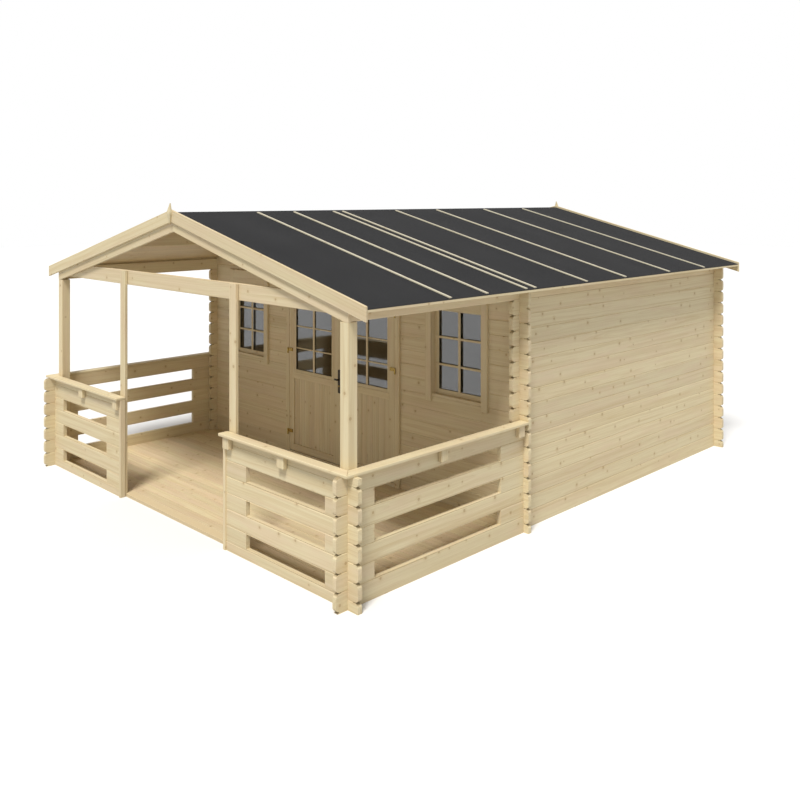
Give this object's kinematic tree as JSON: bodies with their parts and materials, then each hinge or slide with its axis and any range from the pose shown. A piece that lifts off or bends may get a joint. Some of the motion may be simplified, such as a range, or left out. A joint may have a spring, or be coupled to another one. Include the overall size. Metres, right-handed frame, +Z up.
{
  "type": "garden shed",
  "caption": "Log-built garden cabin with a low pitched felt roof, a covered front porch with slotted railings, framed windows and a glazed double door.",
  "frame": {"origin": "on the ground under the middle of the whole cabin", "axes": "+Z up, +Y from the porch to the rear wall, +X to the right as seen from the front"},
  "size_m": [4.622, 5.4796, 2.562],
  "materials": {
    "pale_wood": "planed untreated spruce",
    "floor_wood": "planed untreated spruce floor boards",
    "roof_felt": "dark mineral roofing felt",
    "glass": "clear float glass",
    "brass": "dull brass",
    "black_metal": "black coated"
  },
  "bodies": {
    "cabin": {"left_wall": "pale_wood", "right_wall": "pale_wood", "front_wall_left": "pale_wood", "front_wall_right": "pale_wood", "front_gable": "pale_wood", "rear_wall": "pale_wood", "left_eave_beam": "pale_wood", "right_eave_beam": "pale_wood", "left_front_railing": "pale_wood", "right_front_railing": "pale_wood", "left_side_railing": "pale_wood", "right_side_railing": "pale_wood", "left_handrail": "pale_wood", "right_handrail": "pale_wood", "left_corner_post": "pale_wood", "right_corner_post": "pale_wood", "left_entrance_post": "pale_wood", "right_entrance_post": "pale_wood", "left_railing_end": "pale_wood", "right_railing_end": "pale_wood", "tie_beam": "pale_wood", "left_rafter": "pale_wood", "right_rafter": "pale_wood", "left_front_bargeboard": "pale_wood", "right_front_bargeboard": "pale_wood", "left_rear_bargeboard": "pale_wood", "right_rear_bargeboard": "pale_wood", "front_finial": "pale_wood", "rear_finial": "pale_wood", "left_roof_deck": "pale_wood", "right_roof_deck": "pale_wood", "left_roof_felt": "roof_felt", "right_roof_felt": "roof_felt", "ridge_purlin": "pale_wood", "left_purlin": "pale_wood", "right_purlin": "pale_wood", "porch_floor": "floor_wood", "cabin_floor": "floor_wood", "left_window_frame": "pale_wood", "right_window_frame": "pale_wood", "left_window_glass": "glass", "right_window_glass": "glass", "door_frame": "pale_wood"},
    "left_door": {"left_door_leaf": "pale_wood", "left_door_glass": "glass", "door_handle": "black_metal", "left_door_hinge_1": "brass", "left_door_hinge_2": "brass", "left_door_hinge_3": "brass"},
    "right_door": {"right_door_leaf": "pale_wood", "right_door_glass": "glass", "right_door_hinge_1": "brass", "right_door_hinge_2": "brass", "right_door_hinge_3": "brass"}
  },
  "joints": [
    {"name": "left_door_hinge", "type": "hinge", "parent": "cabin", "child": "left_door", "pos_m": [-0.767, -0.8468, 0.9], "axis": [0, 0, -1], "range_deg": [0, 165]},
    {"name": "right_door_hinge", "type": "hinge", "parent": "cabin", "child": "right_door", "pos_m": [0.767, -0.8468, 0.9], "axis": [0, 0, 1], "range_deg": [0, 165]}
  ]
}
